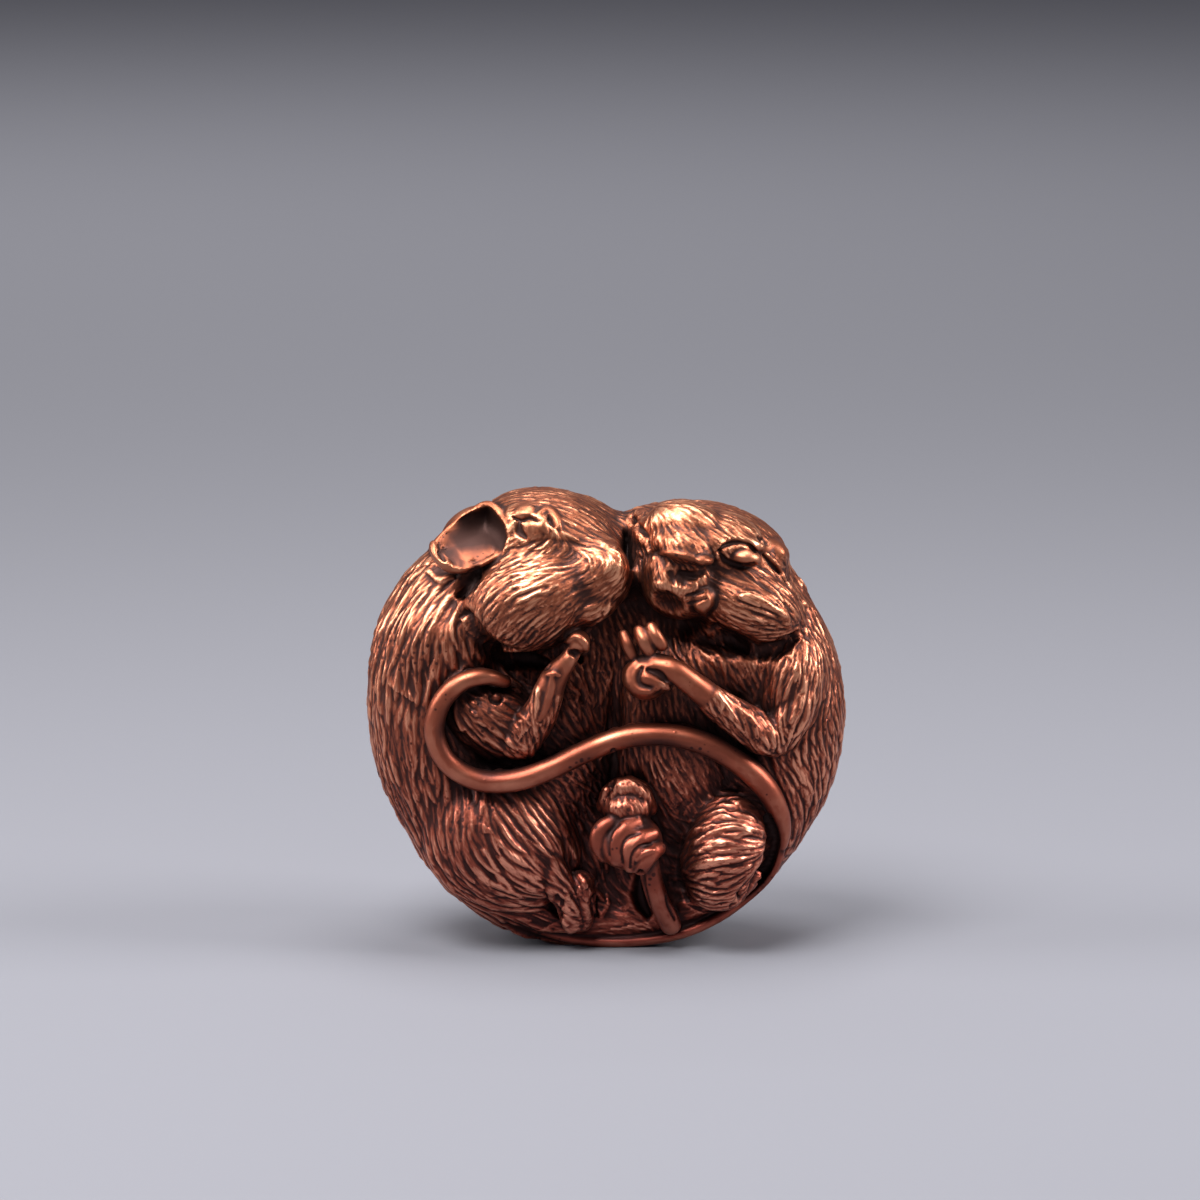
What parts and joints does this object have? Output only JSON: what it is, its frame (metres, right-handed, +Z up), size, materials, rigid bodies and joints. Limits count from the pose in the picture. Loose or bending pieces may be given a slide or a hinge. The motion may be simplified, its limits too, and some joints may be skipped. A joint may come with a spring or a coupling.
{
  "type": "bronze mouse sculpture",
  "caption": "Round bronze casting of sleeping mice curled face to face, with carved fur, a long tail across the front and a domed back, standing on a small flat on its rim.",
  "frame": {"origin": "middle of the bounding box, at its lowest point, on the flat that the casting stands on", "axes": "+Z up; the carved front with both faces looks along -Y; +X to the right as seen from the front"},
  "size_m": [0.0698, 0.037, 0.0682],
  "materials": {
    "bronze": "cast bronze with a warm red-brown patina, nearly black in the hollows of the fur and rubbed to bright copper on the high places"
  },
  "bodies": {
    "root": {"mice_casting": "bronze"}
  },
  "joints": []
}
